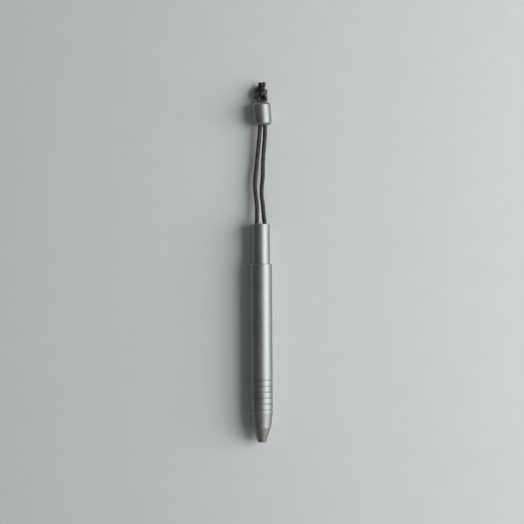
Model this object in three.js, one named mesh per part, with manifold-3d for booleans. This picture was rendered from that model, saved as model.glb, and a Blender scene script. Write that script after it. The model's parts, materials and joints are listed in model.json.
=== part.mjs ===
// Mini pen in blasted titanium with a doubled cord, a bead and a knot.
// Millimetres. The pen lies along Y with its tip towards -Y, on the plane z = 0.

import * as THREE from "three";
import { mergeVertices } from "three/addons/utils/BufferGeometryUtils.js";
import Module from "manifold-3d";

const wasm = await Module();
wasm.setup();

// Round pieces
const roundSides = 24;
const smallSides = 16;
const ringSides = 8;
const overrun = 1;
const mergeDistance = 1e-5;
const runClearance = 0.08;
const pressClearance = 0.05;
const seatGap = 0.05;
const edgeChamfer = 0.25;

// Refill: the pen is built round it, from its point backwards and from its wall outwards
const refillDiameter = 2.35;
const refillLength = 67;
const refillWall = 0.2;
const refillRest = 0.8;
const refillTravel = 4;
const pointLength = 10;
const nibLength = 6;
const nibDiameter = 1.5;
const nibLip = 0.075;
const nibConeLength = 1.6;
const spigotLength = 2;
const inkChannelDiameter = 0.5;
const ballDiameter = 0.7;
const emptyLength = 6.8;
const greaseLength = 2;

// Twist mechanism
const holderWall = 0.4;
const holderGrip = 8;
const drivePinDiameter = 0.9;
const drivePinWall = 0.45;
const guideWall = 0.4;
const guideFlangeLength = 6;
const camWall = 0.43;
const camInsideBarrel = 7;
const camEndWall = 0.5;
const camSlotSteps = 20;
const camSlotReach = 0.2;
const twistAngle = Math.PI;
const washerThickness = 0.3;
const retainingThickness = 0.5;
const retainingDepth = 0.22;
const retainingPlace = 3.4;
const retainingSplit = 0.9;
const frictionSection = 0.36;
const frictionPlace = 5.2;

// Barrel: wall, front taper, grip grooves and bores
const barrelWall = 1.25;
const refillPastBarrel = 4.1;
const taperLength = 5.8;
const taperDrop = 0.65;
const grooveCount = 6;
const groovePitch = 2.1;
const grooveStart = 0.9;
const grooveWidth = 0.45;
const grooveDepth = 0.18;
const grooveFloorShare = 0.5;
const neckLength = 4.35;
const neckClearance = 0.275;
const counterBoreDepth = 0.8;

// Nose tip with its screwed stub
const noseLength = 5.1;
const noseStep = 0.25;
const noseStepLength = 0.35;
const noseHoleClearance = 0.15;
const noseHoleLength = 1.2;
const noseEndWall = 0.25;
const noseEndRounding = 0.45;
const noseEndSpread = 0.35;
const noseEndSteps = 4;
const noseBoreClearance = 0.075;
const noseWall = 1.25;
const threadLength = 3.2;
const threadRunOut = 0.6;
const sealSection = 0.6;
const sealRoom = 0.15;

// Rear tube and the cross pin of the lanyard
const tailWall = 0.6;
const loopRoom = 0.85;
const lanyardPinDiameter = 1.4;
const lanyardPinPlace = 4.5;

// Cord, bead and knot
const cordDiameter = 1.6;
const cordSides = 8;
const strandSteps = 26;
const loopSteps = 10;
const cordGap = 0.3;
const beadWall = 1.2;
const beadHoleClearance = 1.1;
const beadLength = 8.2;
const beadChamfer = 0.85;
const beadHoleChamfer = 0.2;
const beadSideways = 0.68;
const beadPlace = 39.3;
const beadTilt = 0.06;
const knotDiameter = 4.7;
const knotLength = 5.4;
const knotSides = 12;
const knotRings = 8;
const knotFaceShare = 0.84;
const knotBeadGap = 0.55;
const knotSideways = 0.3;
const knotTilt = 0.08;
const tailLengthCut = 1.1;
const tailPlaceShares = [
  [-0.08, 0],
  [0.5, 0.45],
];

// Route of each strand from the cross pin to the knot, chosen by hand. Places along Y start at
// the rear end of the pen.
const leftRoute = [
  [-1.55, -4.2, 3.968],
  [-1.45, -2, 3.968],
  [-1.32, 0.2, 3.93],
  [-1.25, 3, 3.76],
  [-1.27, 6.6, 3.38],
  [-1.65, 10.2, 2.94],
  [-1.95, 13.8, 2.62],
  [-1.75, 17.3, 2.46],
  [-1.3, 20.9, 2.45],
  [-0.95, 24.5, 2.57],
  [-0.57, 28, 2.81],
  [-0.2, 31.6, 3.11],
  [0, 34.4, 3.27],
  [-0.03, 37.4, 3.32],
  [-0.2, 40.6, 3.26],
  [-0.38, 43.6, 2.9],
];
const rightRoute = [
  [1.55, -4.2, 3.968],
  [1.52, -2, 3.968],
  [1.44, 0.2, 3.93],
  [1.14, 3, 3.76],
  [0.87, 6.6, 3.38],
  [0.44, 10.2, 2.94],
  [0.55, 13.8, 2.62],
  [0.9, 17.3, 2.46],
  [0.96, 20.9, 2.45],
  [1.14, 24.5, 2.57],
  [1.42, 28, 2.81],
  [1.71, 31.6, 3.11],
  [1.77, 34.4, 3.27],
  [1.64, 37.4, 3.32],
  [1.46, 40.6, 3.26],
  [1.3, 43.6, 2.9],
];

// Across: each radius carries the next one out. A turning pair clears the flats of the outer piece.
const flatFactor = Math.cos(Math.PI / roundSides);
const refillRadius = refillDiameter / 2;
const refillInner = refillRadius - refillWall;
const holderBore = refillRadius + pressClearance;
const holderRadius = holderBore + holderWall;
const guideInner = (holderRadius + runClearance) / flatFactor;
const guideOuter = guideInner + guideWall;
const camInner = (guideOuter + runClearance) / flatFactor;
const camOuter = camInner + camWall;
const boreRadius = (camOuter + runClearance) / flatFactor;
const barrelRadius = boreRadius + barrelWall;
const tailBore = camOuter + pressClearance;
const tailRadius = tailBore + tailWall;
const counterRadius = (tailRadius + runClearance) / flatFactor;
const taperFront = barrelRadius - taperDrop;
const noseBase = taperFront - noseStep;
const noseHole = nibDiameter / 2 + noseHoleClearance;
const noseBore = refillRadius + noseBoreClearance;
const threadRadius = noseBore + noseWall;
const socketRadius = threadRadius + runClearance;
const sealNeck = socketRadius - sealSection;
const sealSeat = socketRadius + 2 * seatGap;
const axisHeight = barrelRadius * flatFactor;

// Along: from the tip at zero backwards
const refillRear = refillRest + refillLength;
const barrelRear = refillRear - refillPastBarrel;
const holderEnd = drivePinDiameter + 2 * drivePinWall;
const holderRear = refillRear + seatGap + holderEnd;
const drivePinPlace = refillRear + seatGap + holderEnd / 2;
const guideRear = holderRear + 2 * seatGap;
const camRear = guideRear + seatGap + camEndWall;
const camFront = barrelRear - camInsideBarrel;
const guideFront = camFront - seatGap - guideFlangeLength;
const loopRadius = lanyardPinDiameter / 2 + seatGap + cordDiameter / 2;
const lanyardPinY = camRear + loopRoom + cordDiameter / 2 + loopRadius;
const penLength = lanyardPinY + lanyardPinPlace;
const tailFront = barrelRear - counterBoreDepth + seatGap + washerThickness + seatGap;
const sealRear = noseLength + sealSection + sealRoom;
const stubRear = sealRear + threadLength;
const socketEnd = stubRear + threadRunOut;
const mainBoreFront = socketEnd + neckLength;

// Materials
function metal(color, roughness) {
  return new THREE.MeshStandardMaterial({ color, roughness, metalness: 1 });
}
function soft(color, roughness) {
  return new THREE.MeshStandardMaterial({ color, roughness, metalness: 0 });
}
const titanium = () => metal(0x8b9191, 0.55);
const noseTitanium = () => metal(0x86847d, 0.6);
const steel = () => metal(0xb4b6b8, 0.35);
const brass = () => metal(0xb08d4a, 0.4);
const rubber = () => soft(0x161616, 0.8);
const polymer = () => soft(0xe6e4dc, 0.5);
const cordFabric = () => soft(0x141718, 0.85);
const inkBlack = () => soft(0x0a0a12, 0.4);
const grease = () => soft(0xd8cfa0, 0.3);

// Groups: the pen's own frame has its tip at y = 0, and the lanyard's starts at the rear end
const object = new THREE.Group();
const pen = new THREE.Group();
pen.position.set(0, -penLength / 2, axisHeight);
const lanyard = new THREE.Group();
lanyard.position.set(0, penLength / 2, 0);
object.add(pen, lanyard);

function add(parent, name, geometry, material) {
  const mesh = new THREE.Mesh(geometry, material);
  mesh.name = name;
  parent.add(mesh);
  return mesh;
}

// A solid of revolution about Y from points [radius, place], with a flat side underneath
function turned(points, sides = roundSides) {
  const outline = points.map(([radius, place]) => new THREE.Vector2(radius, place));
  return new THREE.LatheGeometry(outline, sides, Math.PI / sides);
}

function closed(points) {
  return [...points, points[0]];
}

function tube(inner, outer, front, rear, sides = roundSides) {
  return turned(closed([[inner, front], [outer, front], [outer, rear], [inner, rear]]), sides);
}

// A ring of round section
function roundRing(radius, section, place, sides = roundSides) {
  const points = [];
  for (let i = 0; i < ringSides; i++) {
    const angle = (2 * Math.PI * i) / ringSides;
    const out = radius + (section / 2) * Math.cos(angle);
    points.push([out, place + (section / 2) * Math.sin(angle)]);
  }
  return turned(closed(points), sides);
}

function toSolid(geometry) {
  const bare = geometry.index ? geometry.toNonIndexed() : geometry.clone();
  bare.deleteAttribute("normal");
  bare.deleteAttribute("uv");
  const merged = mergeVertices(bare, mergeDistance);
  const corners = merged.index.array;
  const kept = [];
  for (let i = 0; i < corners.length; i += 3) {
    const [a, b, c] = [corners[i], corners[i + 1], corners[i + 2]];
    if (a !== b && b !== c && a !== c) kept.push(a, b, c);
  }
  const mesh = new wasm.Mesh({
    numProp: 3,
    vertProperties: new Float32Array(merged.attributes.position.array),
    triVerts: new Uint32Array(kept),
  });
  return new wasm.Manifold(mesh);
}

function toGeometry(solid) {
  const mesh = solid.getMesh();
  const geometry = new THREE.BufferGeometry();
  geometry.setAttribute("position", new THREE.BufferAttribute(mesh.vertProperties, 3));
  geometry.setIndex(new THREE.BufferAttribute(mesh.triVerts, 1));
  return geometry;
}

function cut(geometry, cutters) {
  let solid = toSolid(geometry);
  for (const cutter of cutters) solid = solid.subtract(toSolid(cutter));
  return toGeometry(solid);
}

// A round bar along Z through the axis at a place along the pen
function crossBar(diameter, length, place) {
  const bar = new THREE.CylinderGeometry(diameter / 2, diameter / 2, length, smallSides);
  bar.rotateX(Math.PI / 2);
  bar.translate(0, place, 0);
  return bar;
}

// A band that winds about Y from one place to another, as wide as a slot
function helicalBand(inner, outer, width, fromAngle, toAngle, fromPlace, toPlace) {
  const positions = [];
  const index = [];
  for (let i = 0; i <= camSlotSteps; i++) {
    const t = i / camSlotSteps;
    const angle = fromAngle + (toAngle - fromAngle) * t;
    const place = fromPlace + (toPlace - fromPlace) * t;
    const corners = [[inner, -1], [outer, -1], [outer, 1], [inner, 1]];
    for (const [radius, side] of corners) {
      const y = place + (side * width) / 2;
      positions.push(radius * Math.sin(angle), y, radius * Math.cos(angle));
    }
  }
  for (let i = 0; i < camSlotSteps; i++) {
    for (let k = 0; k < 4; k++) {
      const a = 4 * i + k;
      const b = 4 * i + ((k + 1) % 4);
      index.push(a, b, b + 4, a, b + 4, a + 4);
    }
  }
  const last = 4 * camSlotSteps;
  index.push(0, 2, 1, 0, 3, 2, last, last + 1, last + 2, last, last + 2, last + 3);
  if (toAngle > fromAngle) index.reverse();
  const geometry = new THREE.BufferGeometry();
  geometry.setAttribute("position", new THREE.Float32BufferAttribute(positions, 3));
  geometry.setIndex(index);
  return geometry;
}

// Barrel: front taper, grip grooves, rear counterbore and the grooves of its rings
function barrelOutline() {
  const radius = barrelRadius;
  const front = taperFront;
  const taperEnd = noseLength + taperLength;
  const points = [
    [front - edgeChamfer, noseLength + seatGap],
    [front, noseLength + seatGap + edgeChamfer],
    [radius, taperEnd],
  ];
  const lip = (grooveWidth / 2) * grooveFloorShare;
  for (let i = 0; i < grooveCount; i++) {
    const place = taperEnd + grooveStart + i * groovePitch;
    points.push([radius, place - grooveWidth / 2]);
    points.push([radius - grooveDepth, place - lip]);
    points.push([radius - grooveDepth, place + lip]);
    points.push([radius, place + grooveWidth / 2]);
  }
  points.push([radius, barrelRear - edgeChamfer]);
  points.push([radius - edgeChamfer, barrelRear]);
  points.push([counterRadius, barrelRear]);
  points.push([counterRadius, barrelRear - counterBoreDepth]);
  points.push([boreRadius, barrelRear - counterBoreDepth]);
  const grooves = [
    [retainingPlace, retainingThickness + 2 * seatGap, retainingOuter + runClearance],
    [frictionPlace, frictionSection + 2 * seatGap, frictionOuter + seatGap],
  ];
  for (const [depth, width, floor] of grooves) {
    points.push([boreRadius, barrelRear - depth + width / 2]);
    points.push([floor, barrelRear - depth + width / 2]);
    points.push([floor, barrelRear - depth - width / 2]);
    points.push([boreRadius, barrelRear - depth - width / 2]);
  }
  points.push([boreRadius, mainBoreFront]);
  points.push([refillRadius + neckClearance, mainBoreFront]);
  points.push([refillRadius + neckClearance, socketEnd]);
  points.push([socketRadius, socketEnd]);
  points.push([socketRadius, sealRear]);
  points.push([sealSeat, sealRear]);
  points.push([sealSeat, noseLength + seatGap]);
  return closed(points);
}

const retainingInner = camOuter - retainingDepth + pressClearance;
const retainingOuter = boreRadius + retainingDepth;
const frictionInner = (camOuter + seatGap) / flatFactor;
const frictionOuter = frictionInner + frictionSection;

add(pen, "barrel", turned(barrelOutline()), titanium());

// Nose tip: rounded end, cone, flange and screwed stub, bored for the refill
function noseOutline() {
  const flat = noseHole + noseEndWall;
  const rounding = [];
  for (let i = 0; i <= noseEndSteps; i++) {
    const angle = (Math.PI / 2) * (i / noseEndSteps);
    const radius = flat + noseEndSpread * Math.sin(angle);
    rounding.push([radius, noseEndRounding * (1 - Math.cos(angle))]);
  }
  return closed([
    ...rounding,
    [noseBase, noseLength - noseStepLength],
    [noseBase, noseLength],
    [sealNeck, noseLength],
    [sealNeck, sealRear],
    [threadRadius, sealRear],
    [threadRadius, stubRear],
    [noseBore, stubRear],
    [noseBore, noseHoleLength + noseBore - noseHole],
    [noseHole, noseHoleLength],
    [noseHole, 0],
  ]);
}
add(pen, "nose_tip", turned(noseOutline()), noseTitanium());

const sealPlace = noseLength + (sealSection + sealRoom) / 2;
const sealRadius = sealNeck + seatGap + sealSection / 2;
add(pen, "nose_seal", roundRing(sealRadius, sealSection, sealPlace), rubber());

// Refill
const pointRear = refillRest + pointLength;
const spigotRadius = refillRadius - refillWall - pressClearance;
const inkFront = pointRear + spigotLength + seatGap;
const inkRear = refillRear - emptyLength - greaseLength - seatGap;

function pointOutline() {
  const channel = inkChannelDiameter / 2;
  const ball = ballDiameter / 2;
  const cupRadius = ball + seatGap;
  const front = refillRest + ball / 2;
  return closed([
    [cupRadius, front],
    [cupRadius + nibLip, front],
    [nibDiameter / 2, front + nibConeLength],
    [nibDiameter / 2, refillRest + nibLength],
    [refillRadius, refillRest + nibLength + refillRadius - nibDiameter / 2],
    [refillRadius, pointRear - seatGap],
    [spigotRadius, pointRear - seatGap],
    [spigotRadius, pointRear + spigotLength],
    [channel, pointRear + spigotLength],
    [channel, refillRest + ballDiameter + seatGap],
    [cupRadius, refillRest + ballDiameter],
  ]);
}
add(pen, "refill_tube", tube(refillInner, refillRadius, pointRear, refillRear, smallSides), steel());
add(pen, "refill_point", turned(pointOutline(), smallSides), brass());

const ball = new THREE.SphereGeometry(ballDiameter / 2, ringSides, ringSides);
ball.translate(0, refillRest + ballDiameter / 2, 0);
add(pen, "writing_ball", ball, steel());

function plug(radius, front, rear) {
  return turned([[0, front], [radius, front], [radius, rear], [0, rear]], smallSides);
}
const fillRadius = refillInner - seatGap;
add(pen, "ink", plug(fillRadius, inkFront, inkRear), inkBlack());
add(pen, "grease_plug", plug(fillRadius, inkRear + seatGap, inkRear + seatGap + greaseLength), grease());

// Refill holder with its cross pin
const holderTurned = turned([
  [0, refillRear + seatGap],
  [holderBore, refillRear + seatGap],
  [holderBore, refillRear - holderGrip],
  [holderRadius, refillRear - holderGrip],
  [holderRadius, holderRear],
  [0, holderRear],
]);
const drivePinHole = drivePinDiameter + 2 * pressClearance;
const holderCutter = crossBar(drivePinHole, 2 * holderRadius + overrun, drivePinPlace);
add(pen, "refill_holder", cut(holderTurned, [holderCutter]), polymer());

const drivePinLength = 2 * camOuter - 2 * pressClearance;
add(pen, "drive_pin", crossBar(drivePinDiameter, drivePinLength, drivePinPlace), steel());

// Guide sleeve with a straight slot on each side
const slotWidth = drivePinDiameter + 2 * runClearance;
const guideOutline = closed([
  [guideInner, guideFront],
  [boreRadius - pressClearance, guideFront],
  [boreRadius - pressClearance, guideFront + guideFlangeLength],
  [guideOuter, guideFront + guideFlangeLength],
  [guideOuter, guideRear],
  [guideInner, guideRear],
]);
const guideSlot = new THREE.BoxGeometry(slotWidth, refillTravel + slotWidth, 2 * guideOuter + overrun);
guideSlot.translate(0, drivePinPlace - refillTravel / 2, 0);
add(pen, "guide_sleeve", cut(turned(guideOutline), [guideSlot]), steel());

// Cam sleeve: closed at its rear, with two helical slots and the retaining ring's groove
const camGroove = camOuter - retainingDepth;
const camGrooveRear = barrelRear - retainingPlace + retainingThickness / 2 + seatGap;
const camGrooveFront = barrelRear - retainingPlace - retainingThickness / 2 - seatGap;
const camOutline = [
  [0, camRear - camEndWall],
  [camInner, camRear - camEndWall],
  [camInner, camFront],
  [camOuter, camFront],
  [camOuter, camGrooveFront],
  [camGroove, camGrooveFront],
  [camGroove, camGrooveRear],
  [camOuter, camGrooveRear],
  [camOuter, camRear],
  [0, camRear],
];
const camSlope = refillTravel / (twistAngle * camInner);
const camSlotWidth = slotWidth * Math.hypot(1, camSlope);
const camSlotEnd = Math.asin(slotWidth / 2 / camInner);
const camSlotRise = (camSlotEnd * refillTravel) / twistAngle;
const camCutters = [0, Math.PI].map((start) =>
  helicalBand(
    camInner - camSlotReach,
    camOuter + overrun,
    camSlotWidth,
    start + camSlotEnd,
    start - twistAngle - camSlotEnd,
    drivePinPlace + camSlotRise,
    drivePinPlace - refillTravel - camSlotRise,
  ),
);
add(pen, "cam_sleeve", cut(turned(camOutline), camCutters), steel());

// Rings between the barrel and the turning sleeve
const ringFront = barrelRear - retainingPlace - retainingThickness / 2;
const wholeRing = tube(retainingInner, retainingOuter, ringFront, ringFront + retainingThickness);
const splitCutter = new THREE.BoxGeometry(boreRadius, retainingThickness + overrun, retainingSplit);
splitCutter.translate(retainingOuter, barrelRear - retainingPlace, 0);
add(pen, "retaining_ring", cut(wholeRing, [splitCutter]), steel());

const frictionRadius = frictionInner + frictionSection / 2;
add(pen, "friction_ring", roundRing(frictionRadius, frictionSection, barrelRear - frictionPlace), rubber());

const washerFront = barrelRear - counterBoreDepth + seatGap;
const washerInner = camOuter + runClearance;
add(pen, "thrust_washer", tube(washerInner, tailRadius, washerFront, washerFront + washerThickness), polymer());

// Rear tube, open at its rear, with the cross pin that holds the cord
const tailOutline = closed([
  [tailBore, tailFront],
  [tailRadius, tailFront],
  [tailRadius, penLength - edgeChamfer],
  [tailRadius - edgeChamfer, penLength],
  [tailBore, penLength],
]);
const pinHole = crossBar(lanyardPinDiameter + 2 * pressClearance, 2 * tailRadius + overrun, lanyardPinY);
add(pen, "rear_tube", cut(turned(tailOutline), [pinHole]), titanium());

const lanyardPinLength = 2 * tailRadius * flatFactor;
add(pen, "lanyard_pin", crossBar(lanyardPinDiameter, lanyardPinLength, lanyardPinY), titanium());

// Cord: two free strands, and the half turn round the pin between them
function cordAlong(curve, steps) {
  const section = new THREE.Shape();
  for (let i = 0; i < cordSides; i++) {
    const angle = (2 * Math.PI * (i + 0.5)) / cordSides;
    const x = (cordDiameter / 2) * Math.cos(angle);
    const y = (cordDiameter / 2) * Math.sin(angle);
    if (i === 0) section.moveTo(x, y);
    else section.lineTo(x, y);
  }
  section.closePath();
  return new THREE.ExtrudeGeometry(section, { steps, extrudePath: curve, curveSegments: 1 });
}

function strand(route) {
  return new THREE.CatmullRomCurve3(route.map(([x, y, z]) => new THREE.Vector3(x, y, z)));
}
add(lanyard, "cord_left", cordAlong(strand(leftRoute), strandSteps), cordFabric());
add(lanyard, "cord_right", cordAlong(strand(rightRoute), strandSteps), cordFabric());

// The half turn lies in the pen's own frame, in front of the pin
class HalfTurn extends THREE.Curve {
  constructor(radius, place) {
    super();
    this.radius = radius;
    this.place = place;
  }
  getPoint(t, target = new THREE.Vector3()) {
    const angle = Math.PI * (1 + t);
    const x = this.radius * Math.cos(angle);
    return target.set(x, this.place + this.radius * Math.sin(angle), 0);
  }
}
add(pen, "cord_loop", cordAlong(new HalfTurn(loopRadius, lanyardPinY), loopSteps), cordFabric());

// Bead on both strands
const beadHole = cordDiameter + beadHoleClearance / 2;
const beadRadius = beadHole + beadWall;
const beadOutline = closed([
  [beadHole + beadHoleChamfer, -beadLength / 2],
  [beadRadius - beadChamfer, -beadLength / 2],
  [beadRadius, -beadLength / 2 + beadChamfer],
  [beadRadius, beadLength / 2 - beadChamfer],
  [beadRadius - beadChamfer, beadLength / 2],
  [beadHole + beadHoleChamfer, beadLength / 2],
  [beadHole, beadLength / 2 - beadHoleChamfer],
  [beadHole, -beadLength / 2 + beadHoleChamfer],
]);
const bead = add(lanyard, "bead", turned(beadOutline), titanium());
bead.position.set(beadSideways, beadPlace, beadRadius * flatFactor);
bead.rotation.z = beadTilt;

// Knot as a plain rounded body with a flat face towards the strands, and the two cut tails
function knotOutline() {
  const points = [[0, -knotLength / 2]];
  for (let i = 0; i <= knotRings; i++) {
    const angle = -Math.PI / 2 + Math.PI * (i / knotRings);
    const bulge = knotFaceShare + (1 - knotFaceShare) * Math.cos(angle);
    points.push([(knotDiameter / 2) * bulge, (knotLength / 2) * Math.sin(angle)]);
  }
  points.push([0, knotLength / 2]);
  return points;
}
const knotPlace = beadPlace + beadLength / 2 + knotBeadGap + knotLength / 2;
const knot = add(lanyard, "knot", turned(knotOutline(), knotSides), cordFabric());
const knotHeight = (knotDiameter / 2) * Math.cos(Math.PI / knotSides);
knot.position.set(knotSideways, knotPlace, knotHeight);
knot.rotation.z = knotTilt;

const tailPlace = knotPlace + knotLength / 2 + cordGap + tailLengthCut / 2;
["cord_tail_left", "cord_tail_right"].forEach((name, i) => {
  const radius = cordDiameter / 2;
  const piece = new THREE.CylinderGeometry(radius, radius, tailLengthCut, cordSides);
  const tail = add(lanyard, name, piece, cordFabric());
  const [sideShare, upShare] = tailPlaceShares[i];
  const side = knotSideways + (knotDiameter / 2) * sideShare;
  tail.position.set(side, tailPlace, knotHeight + (knotDiameter / 2) * upShare);
});

export default object;
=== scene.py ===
"""A mini pen in blasted titanium with a braided cord, a bead and a knot, on a plain pale floor.

The scene is in metres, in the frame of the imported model: the pen lies along Y, and its point is
at the -Y end. The pieces' own sizes are written in millimetres. Each operator makes one piece, or
one group of like pieces.
"""

import json
import math

import bmesh
import bpy
import numpy as np
from mathutils import Matrix, Vector, noise


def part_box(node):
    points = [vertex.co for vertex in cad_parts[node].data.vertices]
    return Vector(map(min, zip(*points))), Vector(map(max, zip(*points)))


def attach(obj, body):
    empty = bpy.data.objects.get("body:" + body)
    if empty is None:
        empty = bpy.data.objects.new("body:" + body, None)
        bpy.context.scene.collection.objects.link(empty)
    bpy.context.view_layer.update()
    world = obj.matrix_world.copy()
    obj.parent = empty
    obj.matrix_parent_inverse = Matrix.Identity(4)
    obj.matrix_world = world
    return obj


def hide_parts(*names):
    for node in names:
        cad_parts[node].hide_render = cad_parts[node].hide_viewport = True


bl_info = {
    "name": "Mini Pen with Cord",
    "version": (1, 0, 0),
    "blender": (4, 5, 0),
    "location": "3D View > Sidebar > Mini Pen",
    "description": "Makes a turned mini pen with its refill, cord, bead and knot, and a plain stage",
    "category": "Add Mesh",
}

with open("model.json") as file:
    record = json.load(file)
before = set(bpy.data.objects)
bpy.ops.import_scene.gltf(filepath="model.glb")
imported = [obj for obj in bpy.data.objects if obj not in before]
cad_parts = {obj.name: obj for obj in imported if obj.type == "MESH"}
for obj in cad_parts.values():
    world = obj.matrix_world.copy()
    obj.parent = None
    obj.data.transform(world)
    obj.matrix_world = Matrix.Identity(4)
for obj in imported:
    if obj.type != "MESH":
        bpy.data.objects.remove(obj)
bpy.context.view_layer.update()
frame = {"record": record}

MM = 0.001

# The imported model's turned parts have 24 flat sides, so a round piece inside them is this much slimmer
FLAT = math.cos(math.pi / 24)

# Places along the pen in millimetres from its tip: the nose's base, its thread and the barrel's bore
NOSE_BASE, THREAD_START, THREAD_END, BORE_END = 5.1, 5.85, 9.65, 14.0

# Points of a mesh closer than this are one point
MERGE = 1e-7

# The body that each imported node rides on
BODIES = {node: body for body, nodes in frame["record"]["behaviour"]["bodies"].items() for node in nodes}


def middle(node):
    """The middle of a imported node's box, in metres."""
    low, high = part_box(node)
    return (low + high) / 2


def half_width(node):
    """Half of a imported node's width across the pen, in millimetres."""
    low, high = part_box(node)
    return (high.x - low.x) / 2 / MM


def span(node):
    """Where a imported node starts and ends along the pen, in millimetres from the tip."""
    return [(corner.y - TIP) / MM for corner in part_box(node)]


def slimmer(*radii):
    """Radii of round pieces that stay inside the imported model's flat sides."""
    return [radius * FLAT for radius in radii]


AXIS = middle("barrel").z
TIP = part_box("nose_tip")[0].y
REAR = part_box("rear_tube")[1].y


# Trees of nodes

class NodeBoard:
    """Puts nodes into a tree, with their values and links."""

    def __init__(self, tree):
        self.tree = tree

    def feed(self, socket, value):
        """Gives a socket a plain value, or a link from another socket or from a node's first output."""
        if isinstance(value, bpy.types.Node):
            value = value.outputs[0]
        if isinstance(value, bpy.types.NodeSocket):
            self.tree.links.new(value, socket)
        else:
            socket.default_value = value

    def add(self, kind, inputs=None, **settings):
        """Adds a node with its settings, and feeds its inputs."""
        node = self.tree.nodes.new(kind)
        for name, value in settings.items():
            setattr(node, name, value)
        for key, value in (inputs or {}).items():
            self.feed(node.inputs[key], value)
        return node

    def math(self, operation, *values):
        """A Math node."""
        return self.add("ShaderNodeMath", dict(enumerate(values)), operation=operation)

    def whole(self, operation, *values):
        """An Integer Math node."""
        return self.add("FunctionNodeIntegerMath", dict(enumerate(values)), operation=operation)

    def times(self, first, *others):
        """The product of several numbers."""
        for other in others:
            first = self.math("MULTIPLY", first, other)
        return first

    def scaled(self, vector, factor):
        """A vector times a number."""
        return self.add("ShaderNodeVectorMath", {0: vector, "Scale": factor}, operation="SCALE")

    def joined(self, *numbers):
        """A vector from three numbers."""
        return self.add("ShaderNodeCombineXYZ", dict(enumerate(numbers)))

    def parts(self, vector):
        """The three numbers of a vector."""
        return self.add("ShaderNodeSeparateXYZ", {0: vector}).outputs

    def place(self):
        """The place of each point of a geometry."""
        return self.add("GeometryNodeInputPosition")

    def named(self, name):
        """A number that each point of a geometry has."""
        return self.add("GeometryNodeInputNamedAttribute", {"Name": name}, data_type="FLOAT")

    def stored(self, geometry, name, value, kind):
        """A geometry whose points have one more attribute."""
        return self.add("GeometryNodeStoreNamedAttribute", {
            "Geometry": geometry, "Name": name, "Value": value,
        }, data_type=kind, domain="POINT")

    def captured(self, geometry, *sources):
        """A geometry whose points keep values as they are here: each has a name, a kind and a socket."""
        node = self.add("GeometryNodeCaptureAttribute", {"Geometry": geometry}, domain="POINT")
        for name, kind, _ in sources:
            node.capture_items.new(kind, name)
        for name, _, value in sources:
            self.feed(node.inputs[name], value)
        return node

    def closed(self, geometry, material):
        """Ends a tree: smooth faces, instances made real, then the material. Returns the tree."""
        smooth = self.add("GeometryNodeSetShadeSmooth", {"Geometry": geometry})
        real = self.add("GeometryNodeRealizeInstances", {"Geometry": smooth})
        dressed = self.add("GeometryNodeSetMaterial", {"Geometry": real, "Material": material})
        self.add("NodeGroupOutput", {0: dressed})
        return self.tree


def geometry_tree(name, sockets):
    """A Geometry Nodes tree with named inputs. Returns its board and what its inputs give."""
    tree = bpy.data.node_groups.new(name, "GeometryNodeTree")
    for way in ("OUTPUT", "INPUT"):
        tree.interface.new_socket("Geometry", in_out=way, socket_type="NodeSocketGeometry")
    for socket_name, kind in sockets.items():
        tree.interface.new_socket(socket_name, in_out="INPUT", socket_type="NodeSocket" + kind)
    board = NodeBoard(tree)
    return board, board.add("NodeGroupInput").outputs


def turned_tree():
    """Turns an outline about the pen's axis. Each point of the outline is (radius, place, 0)."""
    board, given = geometry_tree("Turned piece", {
        "Segments": "Int", "Axis Height": "Float", "Merge Distance": "Float", "Material": "Material",
    })
    outline = given["Geometry"]
    count = board.add("GeometryNodeAttributeDomainSize", {0: outline}).outputs["Point Count"]
    rows = board.whole("ADD", given["Segments"], 1)
    grid = board.add("GeometryNodeMeshGrid", {
        "Size X": 1.0, "Size Y": 1.0, "Vertices X": board.whole("ADD", count, 1), "Vertices Y": rows,
    })
    index = board.add("GeometryNodeInputIndex")
    column = board.whole("DIVIDE_FLOOR", index, rows)
    row = board.whole("SUBTRACT", index, board.whole("MULTIPLY", column, rows))
    point = board.whole("MODULO", column, count)
    # Each point's mark for rubbed edge wear and a painted highlight goes round with it
    place, wear = (
        board.add("GeometryNodeSampleIndex", {
            "Geometry": outline, "Value": value, "Index": point,
        }, data_type=kind)
        for value, kind in ((board.place(), "FLOAT_VECTOR"), (board.named("wear"), "FLOAT")))
    radius, along = board.parts(place)[:2]
    angle = board.math("DIVIDE", board.times(row, math.tau), given["Segments"])
    across = board.times(radius, board.math("SINE", angle))
    up = board.times(radius, board.math("COSINE", angle))
    turned_grid = board.add("GeometryNodeSetPosition", {
        "Geometry": grid,
        "Position": board.joined(across, along, board.math("ADD", up, given["Axis Height"])),
    })
    merged = board.add("GeometryNodeMergeByDistance", {
        "Geometry": board.stored(turned_grid, "wear", wear, "FLOAT"),
        "Distance": given["Merge Distance"],
    })
    return board.closed(merged, given["Material"])


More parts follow.
